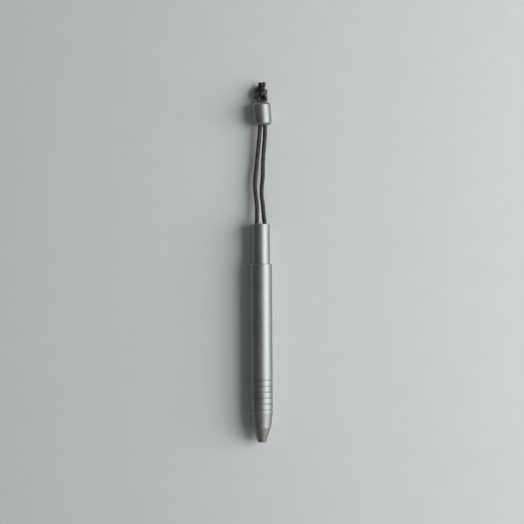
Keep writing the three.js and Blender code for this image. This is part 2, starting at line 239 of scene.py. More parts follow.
def braid_tree():
    """Braids yarns round a path: half go round one way, half the other, over one and under one."""
    board, given = geometry_tree("Braided cord", {
        "Diameter": "Float", "Yarns Each Way": "Int", "Lead": "Float", "Yarn Width": "Float",
        "Yarn Height": "Float", "Yarn Squareness": "Float", "Step": "Float", "Yarn Sides": "Int",
        "Material": "Material",
    })
    line = board.add("GeometryNodeMeshToCurve", {"Mesh": given["Geometry"]})
    path = board.add("GeometryNodeResampleCurve", {"Curve": line, "Length": given["Step"]}, mode="LENGTH")
    half, height = given["Yarns Each Way"], given["Yarn Height"]
    # The wave of a yarn is just over half its height, so that crossing yarns stay clear of each other
    wave = board.times(height, 0.55)
    radius = board.math("SUBTRACT", board.times(given["Diameter"], 0.5),
                        board.math("ADD", wave, board.times(height, 0.5)))

    held = board.captured(
        path,
        ("Normal", "VECTOR", board.add("GeometryNodeInputNormal").outputs["Normal"]),
        ("Tangent", "VECTOR", board.add("GeometryNodeInputTangent")),
        ("Length", "FLOAT", board.add("GeometryNodeSplineParameter").outputs["Length"]),
        ("Swell", "FLOAT", board.named("swell")))
    normal, tangent, length_gone, size = (
        held.outputs[name] for name in ("Normal", "Tangent", "Length", "Swell"))
    side = board.add("ShaderNodeVectorMath", {0: tangent, 1: normal}, operation="CROSS_PRODUCT")

    copies = board.add("GeometryNodeDuplicateElements", {
        "Geometry": held, "Amount": board.whole("MULTIPLY", half, 2),
    }, domain="SPLINE")
    number = copies.outputs["Duplicate Index"]
    # 1 for the yarns of the first half, which go round one way, and -1 for the others
    way = board.math("SUBTRACT", board.times(board.math("LESS_THAN", number, half), 2.0), 1.0)
    turns = board.math("DIVIDE", length_gone, given["Lead"])
    share = board.math("DIVIDE", board.whole("MODULO", number, half), half)
    angle = board.times(board.math("ADD", board.times(turns, way), share), math.tau)
    # A yarn lies flat where it is outside or inside, and dives steeply in between
    rise = board.math("COSINE", board.times(turns, half, math.tau))
    rise = board.math("SINE", board.times(rise, math.pi / 2))
    out = board.times(board.math("ADD", radius, board.times(rise, wave, way)), size)
    outwards = board.add("ShaderNodeVectorMath", {
        0: board.scaled(normal, board.math("COSINE", angle)),
        1: board.scaled(side, board.math("SINE", angle)),
    }, operation="ADD")
    offset = board.scaled(outwards, out)
    moved = board.add("GeometryNodeSetPosition", {"Geometry": copies, "Offset": offset})
    faced = board.add("GeometryNodeSetCurveNormal", {"Curve": moved, "Normal": outwards}, mode="FREE")

    # A yarn's section is a flat oval that bends round the cord
    ring, core_ring = (
        board.add("GeometryNodeCurvePrimitiveCircle", {"Resolution": sides, "Radius": size_of_ring})
        for sides, size_of_ring in ((given["Yarn Sides"], 1.0), (12, radius)))
    power = board.math("SUBTRACT", 1.0, given["Yarn Squareness"])
    high, wide = (
        board.times(given[name], 0.5, board.times(
            board.math("SIGN", value), board.math("POWER", board.math("ABSOLUTE", value), power)))
        for name, value in zip(("Yarn Height", "Yarn Width"), board.parts(board.place())))
    bend = board.math("DIVIDE", board.times(wide, wide), given["Diameter"])
    oval = board.add("GeometryNodeSetPosition", {
        "Geometry": ring, "Position": board.joined(board.math("SUBTRACT", high, bend), wide, 0.0),
    })
    section = board.captured(oval, ("Place", "VECTOR", board.place()))
    # A plain core fills the inside, so that no light comes through between the yarns
    yarns, core = (
        board.add("GeometryNodeCurveToMesh", {
            "Curve": curve, "Profile Curve": profile, "Scale": size, "Fill Caps": True,
        }) for curve, profile in ((faced, section), (held, core_ring)))
    across = board.parts(section.outputs["Place"])[1]
    # Each yarn's fibres are drawn at a place of their own, so that no two yarns look the same
    marks = board.joined(length_gone, across, board.times(number, 0.37))
    both = board.add("GeometryNodeJoinGeometry")
    for part in (core, board.stored(yarns, "yarn", marks, "FLOAT_VECTOR")):
        board.feed(both.inputs[0], part)
    return board.closed(both, given["Material"])


def placed(name, data):
    """A new object in the scene."""
    item = bpy.data.objects.new(name, data)
    bpy.context.scene.collection.objects.link(item)
    return item


def evaluated_mesh(piece):
    """Turns what a piece's modifiers make into its own plain mesh."""
    bpy.context.view_layer.update()
    depsgraph = bpy.context.evaluated_depsgraph_get()
    seen = piece.evaluated_get(depsgraph)
    mesh = bpy.data.meshes.new_from_object(seen, preserve_all_data_layers=True, depsgraph=depsgraph)
    piece.modifiers.clear()
    piece.data = mesh
    return mesh


def made_by_tree(name, base, tree, values):
    """Runs a tree on a base mesh and returns the result as a plain mesh object."""
    piece = placed(name, base)
    modifier = piece.modifiers.new("Shape", "NODES")
    modifier.node_group = tree
    for item in tree.interface.items_tree:
        if item.in_out == "INPUT" and item.name in values:
            modifier[item.identifier] = values[item.name]
    evaluated_mesh(piece).name = name
    bpy.data.meshes.remove(base)
    outward(piece.data)
    return piece


# Outlines and meshes

def arc(corner, before, after, rounding, steps):
    """The points of a rounded corner, from its straight side before to its straight side after."""
    to_before = (before - corner).normalized()
    to_after = (after - corner).normalized()
    angle = to_before.angle(to_after)
    reach = rounding / math.tan(angle / 2)
    # A rounding takes up less than half of the shorter side
    most = 0.48
    room = most * min((before - corner).length, (after - corner).length)
    if reach > room:
        rounding, reach = rounding * room / reach, room
    centre = corner + (to_before + to_after).normalized() * (rounding / math.sin(angle / 2))
    start = corner + to_before * reach - centre
    end = corner + to_after * reach - centre
    sweep = start.angle(end)
    turns = [sweep * i / steps for i in range(steps + 1)]
    return [centre + (start * math.sin(sweep - turn) + end * math.sin(turn)) / math.sin(sweep)
            for turn in turns]


def rounded_outline(corners, steps):
    """A closed outline of (radius, place, edge wear and painted highlight) from corners of (radius,
    place, rounding), in mm.

    A corner without a rounding stays sharp. A point on an outward corner is marked for rubbed wear and a
    painted highlight.
    """
    flat = [Vector(corner[:2]) for corner in corners]
    area = sum(a.cross(b) for a, b in zip(flat, flat[1:] + flat[:1]))
    outline = []
    for i, (here, corner) in enumerate(zip(flat, corners)):
        before, after = flat[i - 1], flat[(i + 1) % len(flat)]
        if len(corner) < 3:
            outline.append((*here, 0.0))
            continue
        points = arc(here, before, after, corner[2], steps)
        # 1 on an outward corner, where the metal shows rubbed wear and a painted highlight
        wear = float((here - before).cross(after - here) * area > 0)
        # A point close beside each end of the rounding keeps the edge wear, its painted highlight and the
        # smooth shading on it
        close, most, beside = 0.06, 0.4, []
        for point, neighbour in ((points[0], before), (points[-1], after)):
            reach = min(corner[2], close, (point - neighbour).length * most)
            beside.append((*(point + (neighbour - here).normalized() * reach), 0.0))
        outline += [beside[0], *((*point, wear) for point in points), beside[1]]
    return outline


def line_mesh(name, points, breaks=(), **attributes):
    """A mesh of points joined one after another, apart from those that start a new line."""
    mesh = bpy.data.meshes.new(name)
    links = [(i, i + 1) for i in range(len(points) - 1) if i + 1 not in breaks]
    mesh.from_pydata([tuple(p) for p in points], links, [])
    for attribute, values in attributes.items():
        mesh.attributes.new(attribute, "FLOAT", "POINT").data.foreach_set("value", values)
    return mesh


def outward(mesh):
    """Turns every face of closed shells outwards."""
    work = bmesh.new()
    work.from_mesh(mesh)
    bmesh.ops.recalc_face_normals(work, faces=work.faces)
    work.to_mesh(mesh)
    work.free()


def sharpened(mesh, degrees=32.0):
    """Smooth shading, with sharp edges where faces meet at more than an angle."""
    mesh.shade_smooth()
    mesh.set_sharp_from_angle(angle=math.radians(degrees))


def turned(name, finish, corners, *nodes, segments=None, steps=4, start=TIP, axis=AXIS, cutters=()):
    """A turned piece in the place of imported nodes, from the corners of its closed outline.

    The corners' places are in millimetres from start, and closed meshes may be cut out of the piece.
    """
    outline = rounded_outline(corners, steps)
    # Each outline point carries its mark for edge wear and painted highlight
    base = line_mesh(name, [(radius * MM, start + place * MM, 0.0) for radius, place, _ in outline],
                     wear=[wear for _, _, wear in outline])
    piece = made_by_tree(name, base, TREES["turned"], {
        "Segments": segments or bpy.context.scene.pen_body.segments, "Axis Height": axis,
        "Merge Distance": MERGE, "Material": MATERIALS[finish],
    })
    sharpened(piece.data)
    for cutter in cutters:
        modifier = piece.modifiers.new("Cut", "BOOLEAN")
        modifier.operation = "DIFFERENCE"
        modifier.solver = "EXACT"
        modifier.object = cutter
        sharpened(evaluated_mesh(piece))
        bpy.data.objects.remove(cutter)
    return settle(piece, finish, *nodes)


def solid_from_rings(name, rings, finish=None):
    """A closed solid whose skin runs through rings of points, with a flat face at each end.

    A point is its place across, its place from the tip and its height from the axis, in millimetres.
    """
    sides, last = len(rings[0]), len(rings) - 1
    faces = [tuple(range(sides - 1, -1, -1))]
    for i in range(last):
        for k in range(sides):
            a, b = i * sides + k, i * sides + (k + 1) % sides
            faces.append((a, b, b + sides, a + sides))
    faces.append(tuple(last * sides + k for k in range(sides)))
    points = [(x * MM, TIP + y * MM, AXIS + z * MM) for ring in rings for x, y, z in ring]
    mesh = bpy.data.meshes.new(name)
    mesh.from_pydata(points, [], faces)
    if finish:
        mesh.materials.append(MATERIALS[finish])
    outward(mesh)
    sharpened(mesh)
    return placed(name, mesh)


def upright_pin(name, node, reach, rounding, finish=None, grow=0.0, follow=0.0, sides=48, steps=4):
    """A round pin along Z with rounded ends, where a packed pin is.

    Reach is half of its height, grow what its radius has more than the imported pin's, and follow the
    radius of a tube that its ends are flush with.
    """
    start, end = span(node)
    place, radius = (start + end) / 2, (end - start) / 2 + grow
    profile = [(radius - rounding * (1 - math.sin(angle)), rounding * (1 - math.cos(angle)))
               for angle in (math.pi / 2 * i / steps for i in range(steps + 1))]
    if follow:
        profile = [(radius * share, 0.0) for share in (0.1, 0.3, 0.5, 0.7, 0.88)] + profile
    rings = []
    for side, part in ((-1, profile), (1, reversed(profile))):
        for ring_radius, depth in part:
            ring = []
            for turn in (math.tau * k / sides for k in range(sides)):
                x = ring_radius * math.cos(turn)
                drop = follow - math.sqrt(follow**2 - x**2) if follow else 0.0
                ring.append((x, place + ring_radius * math.sin(turn), side * (reach - depth - drop)))
            rings.append(ring)
    return solid_from_rings(name, rings, finish)


def slot_cutter(name, inner, outer, half, turns, places, steps=40, end_steps=6):
    """Cuts a slot with round ends through a sleeve, along a line that may wind round it."""
    middle_radius = (inner + outer) / 2
    line = Vector(((turns[1] - turns[0]) * middle_radius, places[1] - places[0]))
    along, run = line.normalized(), line.length
    across = Vector((-along.y, along.x))
    # A round end starts at 84 degrees, because at 90 the slot would have no width there
    angles = [math.radians(84) * (1 - i / end_steps) for i in range(end_steps)]
    stations = [(-half * math.sin(angle), half * math.cos(angle)) for angle in angles]
    stations += [(run * i / steps, half) for i in range(steps + 1)]
    stations += [(run - distance, width) for distance, width in reversed(stations[:end_steps])]
    rings = []
    for distance, width in stations:
        ring = []
        for radius, side in ((inner, -1), (outer, -1), (outer, 1), (inner, 1)):
            spot = along * distance + across * (side * width)
            turn = turns[0] + spot.x / middle_radius
            ring.append((radius * math.sin(turn), places[0] + spot.y, radius * math.cos(turn)))
        rings.append(ring)
    return solid_from_rings(name, rings)


def settle(piece, finish, *nodes):
    """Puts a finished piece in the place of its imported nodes, on their body. A cord's end has none."""
    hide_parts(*nodes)
    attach(piece, BODIES[nodes[0]] if nodes else BODIES["knot"])
    return piece


# Materials

class Finish(NodeBoard):
    """A procedural material in the making, on object coordinates."""

    def __init__(self, name):
        self.material = bpy.data.materials.new(name)
        self.material.use_nodes = True
        super().__init__(self.material.node_tree)
        self.coordinates = self.add("ShaderNodeTexCoord").outputs["Object"]

    def stretched(self, x, y, z, source=None):
        """The coordinates, stretched along each axis."""
        return self.add("ShaderNodeMapping", {"Vector": source or self.coordinates, "Scale": (x, y, z)})

    def noise(self, scale, detail=2.0, roughness=0.5, place=None):
        """A noise of 0 to 1 whose lumps are one part in scale of a metre."""
        return self.add("ShaderNodeTexNoise", {
            "Vector": place or self.coordinates, "Scale": scale, "Detail": detail, "Roughness": roughness,
        })

    def spread(self, value, to_low=0.0, to_high=1.0, low=0.3, high=0.7):
        """A value taken from one range to another and held in it. Most of a noise is in 0.3 to 0.7."""
        return self.add("ShaderNodeMapRange", {
            "Value": value, "From Min": low, "From Max": high, "To Min": to_low, "To Max": to_high,
        })

    def attribute(self, name, output):
        """A named attribute of the mesh, as its Fac or its Vector."""
        return self.add("ShaderNodeAttribute", attribute_name=name).outputs[output]

    def mixed(self, factor, first, second):
        """A colour between two colours."""
        return self.add("ShaderNodeMix", {0: factor, 6: first, 7: second}, data_type="RGBA").outputs[2]

    def clouded(self, colour, clouds, dark=0.9, light=1.08):
        """A colour that drifts between a darker and a lighter shade of it."""
        return self.mixed(self.spread(clouds), shade(colour, dark), shade(colour, light))

    def bumped(self, height, distance, strength, under=None):
        """A normal raised by a height of 0 to 1, times a distance in metres."""
        inputs = {"Height": height, "Distance": distance, "Strength": strength}
        if under:
            inputs["Normal"] = under
        return self.add("ShaderNodeBump", inputs)

    def finished(self, tone, roughness, normal, **more):
        """Feeds the shader and returns the material."""
        shader = self.tree.nodes["Principled BSDF"]
        for name, value in {"Base Color": tone, "Roughness": roughness, "Normal": normal, **more}.items():
            self.feed(shader.inputs[name], value)
        return self.material


def shade(colour, factor):
    """A colour made lighter or darker."""
    return (*(min(1.0, c * factor) for c in colour), 1.0)


def blasted_metal(name, colour, roughness, grain=7500.0, turning=0.0, wear_and_highlight_strength=0.6):
    """Fine bead-blasted metal: a soft even grain, faint clouds, and outward edges painted brighter,
    partly rubbed wear and partly a painted highlight.
    """
    f = Finish(name)
    clouds = f.noise(230.0, 3.0, 0.55)
    fine = f.noise(grain, 3.0, 0.6)
    coarse = f.noise(grain * 0.28)
    # Outward corners get rubbed wear, with less roughness, and a painted highlight: a colour 1.7 times
    # lighter
    wear_and_highlight = f.times(f.attribute("wear", "Fac"), f.spread(f.noise(900.0, 3.0), low=0.35, high=0.6))
    tone = f.mixed(f.times(f.spread(fine), 0.3), f.clouded(colour, clouds), shade(colour, 0.72))
    # Painted highlight and wear: the marked edges are painted much lighter than the metal
    tone = f.mixed(f.times(wear_and_highlight, wear_and_highlight_strength), tone, shade(colour, 1.7))
    uneven = f.math("ADD", f.times(clouds, 0.6), f.times(coarse, 0.4))
    rough = f.math("SUBTRACT", f.spread(uneven, roughness - 0.05, roughness + 0.06), f.times(wear_and_highlight, 0.12))
    normal = f.bumped(fine, 0.000022, 0.6, f.bumped(coarse, 0.000008, 0.35))
    if turning:
        rings = f.noise(1.0, 2.0, 0.6, f.stretched(60.0, 9000.0, 60.0))
        normal = f.bumped(rings, 0.00001, turning, normal)
    return f.finished(tone, rough, normal, Metallic=1.0)


def turned_metal(name, colour, roughness):
    """Bright machined metal with fine lines round it."""
    f = Finish(name)
    lines = f.noise(1.0, 3.0, 0.6, f.stretched(90.0, 7000.0, 90.0))
    rough = f.spread(lines, roughness - 0.06, roughness + 0.08, 0.25, 0.75)
    tone = f.clouded(colour, f.noise(400.0))
    return f.finished(tone, rough, f.bumped(lines, 0.000008, 0.5), Metallic=1.0)


def moulded(name, colour, roughness, speck=3000.0, depth=0.00001):
    """Moulded rubber or plastic: a fine even skin with slight changes of tone."""
    f = Finish(name)
    skin = f.noise(speck, 3.0, 0.6)
    rough = f.spread(skin, roughness - 0.06, roughness + 0.06)
    return f.finished(f.clouded(colour, f.noise(500.0), 0.85, 1.1), rough, f.bumped(skin, depth, 0.5))


def yarn_fabric(name, colour):
    """Black filament yarn: fine fibres along each yarn, with a soft sheen."""
    f = Finish(name)
    along = f.attribute("yarn", "Vector")
    fibres = f.noise(1.0, 2.0, 0.6, f.stretched(1400.0, 26000.0, 9.0, along))
    strands = f.noise(1.0, 1.0, 0.5, f.stretched(500.0, 9000.0, 5.0, along))
    patches = f.noise(900.0)
    tone = f.mixed(f.times(f.spread(patches, low=0.35), 0.5), f.clouded(colour, fibres, 0.55, 1.7),
                   shade(colour, 2.1))
    dull = f.times(f.spread(patches, low=0.4, high=0.65), 0.12)
    rough = f.math("ADD", f.spread(fibres, 0.14, 0.24), dull)
    normal = f.bumped(fibres, 0.000025, 0.9, f.bumped(strands, 0.00003, 0.8))
    return f.finished(tone, rough, normal, IOR=1.9)


MATERIALS = {}
TREES = {}
KNOT_PATHS = []


def make_materials(colours):
    """Makes every finish that the pieces share."""
    MATERIALS.update({
        "titanium": blasted_metal("Blasted titanium", colours.titanium, 0.53),
        # The nose's worn edges get a weaker painted highlight, through the last number
        "nose": blasted_metal("Warm turned titanium", colours.nose, 0.56, 4200.0, 0.35, 0.25),
        "steel": turned_metal("Drawn steel", colours.steel, 0.26),
        "brass": turned_metal("Turned brass", colours.brass, 0.24),
        "rubber": moulded("Seal rubber", colours.rubber, 0.62),
        "polymer": moulded("Moulded polymer", colours.polymer, 0.4, 2500.0),
        "ink": moulded("Ink", colours.ink, 0.16, 1500.0, 0.000004),
        "grease": moulded("Grease", colours.grease, 0.2, 900.0),
        "cord": yarn_fabric("Braided black yarn", colours.cord),
        "melted": moulded("Melted cord end", colours.cord, 0.28, 4000.0, 0.00003),
    })


# Sizes and colours that a user may change

def setting(make, **shared):
    """A function that makes one kind of setting from its name, its description and its default."""
    def made(name, description, default, **more):
        return make(name=name, description=description, default=default, **shared, **more)
    return made


length = setting(bpy.props.FloatProperty, min=0.0, unit="LENGTH", precision=5)
amount = setting(bpy.props.FloatProperty)
integer = setting(bpy.props.IntProperty)
colour = setting(bpy.props.FloatVectorProperty, size=3, min=0.0, max=1.0, subtype="COLOR")


class PenBody(bpy.types.PropertyGroup):
    """Sizes of the barrel and its grooves"""
    segments: integer("Segments", "Faces round each turned piece", 160, min=12, max=512)
    barrel_radius: length("Barrel Radius", "Radius of the full barrel", half_width("barrel") * MM)
    taper: length("Taper", "How much slimmer the barrel is at its front", 0.65 * MM * FLAT)
    taper_length: length("Taper Length", "Length of the barrel's front taper", 5.8 * MM)
    groove_count: integer("Grooves", "Number of grip grooves", 6, min=0, max=20)
    groove_pitch: length("Groove Pitch", "Distance between two grip grooves", 2.1 * MM)
    groove_width: length("Groove Width", "Width of a grip groove", 0.45 * MM)
    groove_depth: length("Groove Depth", "Depth of a grip groove", 0.18 * MM)
    edge: length("Edge Rounding", "Rounding of the barrel's rear edge", 0.22 * MM)


class PenCord(bpy.types.PropertyGroup):
    """Sizes of the braided cord and its knot"""
    diameter: length("Cord Diameter", "Diameter of the braided cord", 1.6 * MM)
    yarns: integer("Yarns Each Way", "Yarns that go round the cord each way", 6, min=3, max=16)
    lead: length("Lead", "Length of cord in which a yarn goes round once", 5.7 * MM)
    yarn_width: length("Yarn Width", "Width of a flattened yarn", 0.52 * MM)
    yarn_height: length("Yarn Height", "Thickness of a flattened yarn", 0.27 * MM)
    squareness: amount("Yarn Squareness", "How square a yarn's section is: 0 is an oval", 0.4,
                       min=0.0, max=0.9)
    step: length("Step", "Distance between two rings of points along the cord", 0.09 * MM)
    knot_diameter: length("Knot Cord Diameter", "Diameter of the cord in the knot", 1.38 * MM)
    knot_gap: length("Knot Spacing", "Distance between cords in the knot", 1.22 * MM)


class PenBead(bpy.types.PropertyGroup):
    """Sizes of the bead"""
    radius: length("Bead Radius", "Outer radius of the bead", 3.35 * MM * FLAT)
    hole: length("Bead Hole Radius", "Radius of the bead's hole", 2.15 * MM * FLAT)
    length: length("Bead Length", "Length of the bead", 8.2 * MM)
    chamfer: length("Bead Chamfer", "Size of the bead's outer chamfers", 0.85 * MM)
    tilt: amount("Bead Tilt", "How far the bead lies turned", 0.06, subtype="ANGLE")


class PenColours(bpy.types.PropertyGroup):
    """Colours of the finishes"""
    titanium: colour("Titanium", "Blasted titanium", (0.315, 0.33, 0.323))
    nose: colour("Nose", "Warm titanium of the nose", (0.35, 0.34, 0.315))
    steel: colour("Steel", "Steel pieces", (0.56, 0.57, 0.58))
    brass: colour("Brass", "The refill's point", (0.66, 0.47, 0.2))
    rubber: colour("Rubber", "Seal and friction ring", (0.018, 0.018, 0.018))
    polymer: colour("Polymer", "Moulded polymer pieces", (0.7, 0.69, 0.64))
    ink: colour("Ink", "Ink in the refill", (0.008, 0.008, 0.014))
    grease: colour("Grease", "Grease plug behind the ink", (0.62, 0.55, 0.3))
    cord: colour("Cord", "Yarn of the cord", (0.0045, 0.005, 0.0055))
    floor: colour("Floor", "Floor of the stage", (0.72, 0.74, 0.74))


class PenStage(bpy.types.PropertyGroup):
    """Camera and lights"""
    distance: length("Camera Distance", "Height of the camera over the pen's axis", 0.7)
    width: length("View Width", "Width of the picture at the pen's axis", 0.18714)
    centre_x: amount("Centre X", "Middle of the picture across the pen", 0.42 * MM, unit="LENGTH")
    centre_y: amount("Centre Y", "Middle of the picture along the pen", 25.4 * MM, unit="LENGTH")
    roll: amount("Roll", "Turn of the camera about its view", -0.0062, subtype="ANGLE")
    key: amount("Key Light", "Power of the key light", 6.7, unit="POWER")
    fill: amount("Sky", "Strength of the sky", 0.23)


# The cord's two strands, from the pin in the rear tube to the knot: x, distance from the rear end, z
ROUTES = {
    "cord_left": [
        (-1.55, -4.2, 3.968), (-1.45, -2, 3.968), (-1.32, 0.2, 3.93), (-1.25, 3, 3.76),
        (-1.27, 6.6, 3.38), (-1.65, 10.2, 2.94), (-1.95, 13.8, 2.62), (-1.75, 17.3, 2.46),
        (-1.3, 20.9, 2.45), (-0.95, 24.5, 2.57), (-0.57, 28, 2.81), (-0.2, 31.6, 3.11),
        (0, 34.4, 3.27), (-0.03, 37.4, 3.32), (-0.2, 40.6, 3.26), (-0.38, 43.6, 2.9),
    ],
    "cord_right": [
        (1.55, -4.2, 3.968), (1.52, -2, 3.968), (1.44, 0.2, 3.93), (1.14, 3, 3.76),
        (0.87, 6.6, 3.38), (0.44, 10.2, 2.94), (0.55, 13.8, 2.62), (0.9, 17.3, 2.46),
        (0.96, 20.9, 2.45), (1.14, 24.5, 2.57), (1.42, 28, 2.81), (1.71, 31.6, 3.11),
        (1.77, 34.4, 3.27), (1.64, 37.4, 3.32), (1.46, 40.6, 3.26), (1.3, 43.6, 2.9),
    ],
}
TAILS = ("cord_tail_left", "cord_tail_right")


def smooth_path(route, steps=24):
    """A centripetal Catmull-Rom line through points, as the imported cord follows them."""
    points = [Vector(p) for p in route]
    points = [points[0] * 2 - points[1], *points, points[-1] * 2 - points[-2]]
    path = []
    for p0, p1, p2, p3 in zip(points, points[1:], points[2:], points[3:]):
        gaps = [math.sqrt((b - a).length) for a, b in ((p0, p1), (p1, p2), (p2, p3))]
        start = (p1 - p0) / gaps[0] - (p2 - p0) / (gaps[0] + gaps[1]) + (p2 - p1) / gaps[1]
        end = (p2 - p1) / gaps[1] - (p3 - p1) / (gaps[1] + gaps[2]) + (p3 - p2) / gaps[2]
        start, end = start * gaps[1], end * gaps[1]
        for t in (i / steps for i in range(steps)):
            path.append(p1 * (2 * t**3 - 3 * t**2 + 1) + start * (t**3 - 2 * t**2 + t)
                        + p2 * (3 * t**2 - 2 * t**3) + end * (t**3 - t**2))
    path.append(points[-2])
    return path


def strand_path(route):
    """A strand's centreline in metres."""
    return smooth_path([(x * MM, REAR + y * MM, z * MM) for x, y, z in route])


def distances(path):
    """How far along a line of points each of them is."""
    return np.cumsum([0.0] + [(b - a).length for a, b in zip(path, path[1:])])


def knot_paths():
    """The centrelines of both cords in the knot, from the strands' ends to the two cut ends."""
    if not KNOT_PATHS:
        starts = [np.array(strand_path(route)[-1]) / MM for route in ROUTES.values()]
        ends = [np.array(middle(tail)) / MM for tail in TAILS]
        for end in ends:
            end[1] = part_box(TAILS[0])[0].y / MM
        # The knot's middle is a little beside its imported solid's
        centre = np.array(middle("knot")) / MM + (0.05, 0, 0.1)
        for line in tightened_knot(starts, ends, centre, bpy.context.scene.pen_cord.knot_gap / MM):
            points = [Vector(p) * MM for p in line[::2]] + [Vector(line[-1]) * MM]
            KNOT_PATHS.append(smooth_path(points, 6))
    return KNOT_PATHS


def whole_strands(reach=1.8 * MM):
    """Each strand's centreline, from the pin to its end, which reaches so far into the knot."""
    strands = {}
    for (name, route), path in zip(ROUTES.items(), knot_paths()):
        inside = [p for p, gone in zip(path, distances(path)) if gone <= reach]
        strands[name] = strand_path(route)[:-1] + inside
    return strands


def braided(name, node, paths, diameter=None, swell=None):
    """A braided cord along each path. Swell is the share of its size at each point."""
    cord = bpy.context.scene.pen_cord
    scale = diameter / cord.diameter if diameter else 1.0
    # The yarns of a squeezed cord have fewer sides, which keeps the knot light
    sides = 6 if diameter else 8
    points = [p for path in paths for p in path]
    base = line_mesh(name, points, breaks=list(np.cumsum([len(path) for path in paths])),
                     swell=[1.0] * len(points) if swell is None else swell)
    sizes = {"Diameter": cord.diameter, "Lead": cord.lead, "Yarn Width": cord.yarn_width,
             "Yarn Height": cord.yarn_height, "Step": cord.step}
    piece = made_by_tree(name, base, TREES["braid"], {
        **{key: size * scale for key, size in sizes.items()}, "Yarns Each Way": cord.yarns,
        "Yarn Squareness": cord.squareness, "Yarn Sides": sides,
        "Material": MATERIALS["cord"],
    })
    return settle(piece, "cord", node)


def unit(vectors):
    """Vectors made one long."""
    return vectors / np.linalg.norm(vectors, axis=-1, keepdims=True)


def overhand_start(count):
    """An open overhand knot of unit size, as a line of points along Y."""
    t = np.linspace(-2.15, 2.15, 600)
    line = np.stack([t**3 - 3 * t, 0.55 * (t**5 - 10 * t), 0.9 * (t**4 - 4 * t**2)], 1)
    place = np.r_[0, np.cumsum(np.linalg.norm(np.diff(line, axis=0), axis=1))]
    even = np.linspace(0, place[-1], count)
    return np.stack([np.interp(even, place, line[:, k]) for k in range(3)], 1)


def tightened_knot(starts, ends, centre, gap, count=90, steps=900, final=24.0, turn=0.8,
                   squeeze=1.75, half_length=2.3, floor=0.72):
    """Two cords side by side, tied in one overhand knot and drawn tight. All lengths are in mm.

    The points of both cords are drawn together, kept a cord's thickness apart and kept from
    bending sharply, while the knot's length and width go down step by step.
    """
    line = overhand_start(count)
    along = unit(np.gradient(line, axis=0))
    side = np.zeros_like(line)
    side[0] = unit(np.cross(along[0], (0, 0, 1.0)))
    for i in range(1, count):
        side[i] = unit(side[i - 1] - along[i] * (side[i - 1] @ along[i]))
    cords = np.stack([line - side * gap * 0.52, line + side * gap * 0.52])
    cords -= cords.mean((0, 1))
    x, z = cords[..., 0].copy(), cords[..., 2].copy()
    cords[..., 0] = math.cos(turn) * x - math.sin(turn) * z
    cords[..., 2] = math.sin(turn) * x + math.cos(turn) * z
    cords += centre
    loose = np.linalg.norm(np.diff(cords, axis=1), axis=2).sum(1).mean() / (count - 1)
    tight = final / (count - 1)
    number = np.arange(2 * count)
    same = (number[:, None] // count) == (number[None] // count)
    apart = np.abs(number[:, None] % count - number[None] % count)
    inner = (number % count > 6) & (number % count < count - 7)
    for step in range(steps):
        part = step / steps
        link = loose + (tight - loose) * min(1, part / 0.7)
        # Both cords' ends go to their places and run straight there
        pull = 0.02 + 0.98 * min(1, part / 0.25)
        for c in range(2):
            cords[c, 0] += (starts[c] - cords[c, 0]) * pull
            cords[c, -1] += (ends[c] - cords[c, -1]) * pull
            for k in (1, 2):
                cords[c, k] = cords[c, 0] + (0, link * k, 0)
                cords[c, -1 - k] = cords[c, -1] - (0, link * k, 0)
        # Neighbours along a cord keep one link's length
        for first in (0, 1, 0, 1):
            pairs = (count - first) // 2
            a = cords[:, first:first + 2 * pairs:2]
            b = cords[:, first + 1:first + 1 + 2 * pairs:2]
            move = (b - a) * (1 - link / np.linalg.norm(b - a, axis=2, keepdims=True)) * 0.5
            a += move
            b -= move
        # Bends are eased over one, two and three links
        for reach, weight in ((1, 0.2), (2, 0.16), (3, 0.12)):
            between = (cords[:, :-2 * reach] + cords[:, 2 * reach:]) / 2
            cords[:, reach:-reach] += (between - cords[:, reach:-reach]) * weight
        # Points of different turns push each other apart
        flat = cords.reshape(-1, 3)
        gaps = flat[:, None] - flat[None]
        far = np.sqrt((gaps**2).sum(-1)) + 1e-9
        over = np.where(same & (apart * link < gap * 1.5), 0, np.clip(gap - far, 0, None))
        hits = np.maximum(2.0, (over > 0).sum(1))
        flat += (gaps * (over / far)[..., None]).sum(1) / hits[:, None] * 1.2
        # The whole is pressed into its width and its length, and stays off the floor
        press = min(1, part / 0.85)
        off = flat[:, [0, 2]] - centre[[0, 2]]
        out = np.sqrt((off**2).sum(1)) + 1e-9
        wide = 6 + (squeeze - 6) * press
        flat[:, [0, 2]] -= off * (np.clip(out - wide, 0, None) / out * 0.5)[:, None]
        long = 9 + (half_length - 9) * press
        flat[inner, 1] += 0.5 * np.clip(centre[1] - long - flat[inner, 1], 0, None)
        flat[inner, 1] -= 0.5 * np.clip(flat[inner, 1] - centre[1] - long, 0, None)
        flat[:, 2] = np.maximum(flat[:, 2], floor)
    return cords


# Operators

class PieceOperator(bpy.types.Operator):
    """Shared settings of the operators"""
    bl_options = {"REGISTER", "UNDO"}


class MINIPEN_OT_stage(PieceOperator):
    """Make the floor, the lights and the camera"""
    bl_idname = "minipen.stage"
    bl_label = "Stage"

    def execute(self, context):
        stage, colours = context.scene.pen_stage, context.scene.pen_colours
        make_floor(colours.floor)
        camera = bpy.data.cameras.new("Camera")
        camera.sensor_width = 36.0
        camera.lens = camera.sensor_width * stage.distance / stage.width
        camera.clip_end = 20.0
        eye = placed("Camera", camera)
        eye.location = (stage.centre_x, stage.centre_y, AXIS + stage.distance)
        eye.rotation_euler = (0.0, 0.0, stage.roll)
        context.scene.camera = eye
        make_lamp(stage.key)
        make_sky(stage.fill)
        context.scene.view_settings.view_transform = "Standard"
        return {"FINISHED"}


